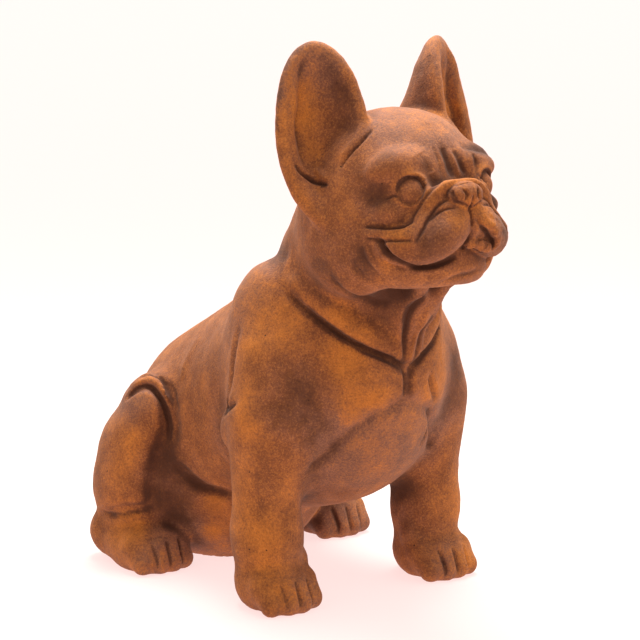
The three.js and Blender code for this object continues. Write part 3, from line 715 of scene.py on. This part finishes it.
clouds = grain(17, 4.0, 0.6)
mottle = grain(70, 6.0, 0.72)
sand = rise(grain(620, 3.0, 0.75), 0.3, 0.7)
fine_sand = rise(grain(1400, 2.0, 0.7), 0.3, 0.7)
patches = grain(38, 6.0, 0.7)
fresh_rust_and_highlight, dark, plum = mark("fresh_rust_and_highlight"), mark("dark"), mark("plum")
hollow, valley, crease, rubbed = mark("hollow"), mark("valley"), mark("crease"), mark("rubbed")

plum_mask = rise(weighed((plum, 0.75), (clouds, 0.6), (patches, 0.6), (mottle, 0.2)), 0.62, 1.05)
# Painted highlight: orange, partly fresh rust and partly the highlights on the marked ridges, kept out
# of the hollows.
fresh_rust_and_highlight_mask = rise(weighed((fresh_rust_and_highlight, 0.42), (mottle, 0.6), (patches, 0.7), (rubbed, 0.25), (hollow, -0.3),
                          (valley, -0.2), (dark, -0.4), (sand, 0.15)), 0.56, 1.12)
# Painted shade: dark brown in the hollows, deep hollows and creases and at the dark marks, partly dark
# rust and partly the shade that falls there.
dark_rust_and_shade_mask = rise(weighed((dark, 0.5), (hollow, 0.38), (valley, 0.35), (crease, 0.5), (mottle, -0.45),
                         (patches, -0.5), (fresh_rust_and_highlight, -0.25), (rubbed, -0.2), (sand, -0.12)),
                 -0.36, 0.36, 0.95)
colour = blend(plum_mask, OLD_RUST, PLUM_RUST)
colour = blend(fresh_rust_and_highlight_mask, colour, FRESH_RUST_AND_HIGHLIGHT)
colour = blend(rise(weighed((sand, 0.6), (fine_sand, 0.4)), 0.52, 0.95, 0.45), colour, PALE_GRAIN)
colour = blend(rise(weighed((sand, 0.55), (fine_sand, 0.45)), 0.05, 0.5, 0.0, 0.5), colour, DARK_RUST_AND_SHADE)
colour = blend(dark_rust_and_shade_mask, colour, DARK_RUST_AND_SHADE)
uneven = rise(weighed((mottle, 0.65), (patches, 0.35)), 0.32, 0.68, 1.15, 0.85)
colour = blend(1.0, colour, uneven, "MULTIPLY")

pores = nodes.new("ShaderNodeTexVoronoi")
feed(pores.inputs["Vector"], where)
feed(pores.inputs["Scale"], 120)
chance = nodes.new("ShaderNodeSeparateColor")
feed(chance.inputs["Color"], pores.outputs["Color"])
pore_size = rise(chance.outputs["Red"], 0.80, 1.0, 0.085)
pore_mask = maths("LESS_THAN", pores.outputs["Distance"], pore_size)
colour = blend(maths("MULTIPLY", pore_mask, 0.8), colour, PINHOLE)

surface = nodes["Principled BSDF"]
feed(surface.inputs["Base Color"], colour)
feed(surface.inputs["Roughness"], rise(sand, 0.0, 1.0, 0.9, 0.72))
surface.inputs["Specular IOR Level"].default_value = 0.2
surface.inputs["Sheen Weight"].default_value = 0.1
surface.inputs["Sheen Roughness"].default_value = 0.45
surface.inputs["Sheen Tint"].default_value = (1, 0.82, 0.68, 1)
bump = nodes.new("ShaderNodeBump")
bump.inputs["Strength"].default_value = 0.6
bump.inputs["Distance"].default_value = 0.4 * MM
feed(bump.inputs["Height"], weighed((sand, 0.7), (fine_sand, 0.35), (mottle, 0.5), (pore_mask, -0.8)))
feed(surface.inputs["Normal"], bump.outputs["Normal"])
casting.data.materials.clear()
casting.data.materials.append(rust)

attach(casting, "root")
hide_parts("bulldog")

# The studio: a pale floor that runs out of sight, under soft light from all round, most of it from
# above. None of it is part of the dog.
FLOOR_REACH = 60
PAPER = (0.3, 0.285, 0.26, 1)
PAPER_GLOW = (1, 0.76, 0.74, 1)
STUDIO_WHITE = (1, 0.985, 0.97, 1)
SKY_TOP = (0.5, 0.2, 0.84)
floor_form = bmesh.new()
bmesh.ops.create_grid(floor_form, x_segments=1, y_segments=1, size=FLOOR_REACH)
floor_mesh = bpy.data.meshes.new("studio_floor")
floor_form.to_mesh(floor_mesh)
floor_form.free()
floor = bpy.data.objects.new("studio_floor", floor_mesh)
bpy.context.scene.collection.objects.link(floor)
pale = bpy.data.materials.new("pale_paper")
pale.use_nodes = True
paper = pale.node_tree.nodes["Principled BSDF"]
paper.inputs["Base Color"].default_value = PAPER
paper.inputs["Roughness"].default_value = 0.9
paper.inputs["Specular IOR Level"].default_value = 0.1
paper.inputs["Emission Color"].default_value = PAPER_GLOW
paper.inputs["Emission Strength"].default_value = 0.9
floor_mesh.materials.append(pale)

world = bpy.data.worlds.new("studio_light")
world.use_nodes = True
sky, sky_links = world.node_tree.nodes, world.node_tree.links
facing = sky.new("ShaderNodeVectorMath")
facing.operation = "DOT_PRODUCT"
facing.inputs[1].default_value = SKY_TOP
sky_links.new(sky.new("ShaderNodeTexCoord").outputs["Generated"], facing.inputs[0])
strength = sky.new("ShaderNodeMapRange")
for name, number in (("From Min", -0.5), ("From Max", 1.0), ("To Min", 0.2), ("To Max", 1.3)):
    strength.inputs[name].default_value = number
sky_links.new(facing.outputs["Value"], strength.inputs["Value"])
sky["Background"].inputs["Color"].default_value = STUDIO_WHITE
sky_links.new(strength.outputs["Result"], sky["Background"].inputs["Strength"])
bpy.context.scene.world = world
bpy.context.scene.view_settings.view_transform = "Standard"


def softbox(name, place_m, aim_m, size, power):
    data = bpy.data.lights.new(name, "AREA")
    data.size, data.energy = size, power
    box = bpy.data.objects.new(name, data)
    box.location = place_m
    box.rotation_euler = (Vector(aim_m) - Vector(place_m)).to_track_quat("-Z", "Y").to_euler()
    bpy.context.scene.collection.objects.link(box)


softbox("top_light", place_m=(0.16, 0.2, 1.15), aim_m=(0, -0.06, 0.3), size=0.6, power=20)

# The camera stands where the photograph was taken from, a little above the dog and to its right.
# It has a long lens, so that the near paw is not drawn too large.
CAMERA_PLACE = (-1085.7, -1417.3, 509.5)
CAMERA_AZIMUTH, CAMERA_DROP = math.radians(-37.6), math.radians(9.9)
camera_data = bpy.data.cameras.new("camera")
camera_data.sensor_width = 36
camera_data.lens = 135
camera = bpy.data.objects.new("camera", camera_data)
camera.location = Vector(CAMERA_PLACE) * MM
camera.rotation_euler = (math.pi / 2 - CAMERA_DROP, 0, CAMERA_AZIMUTH)
bpy.context.scene.collection.objects.link(camera)
bpy.context.scene.camera = camera
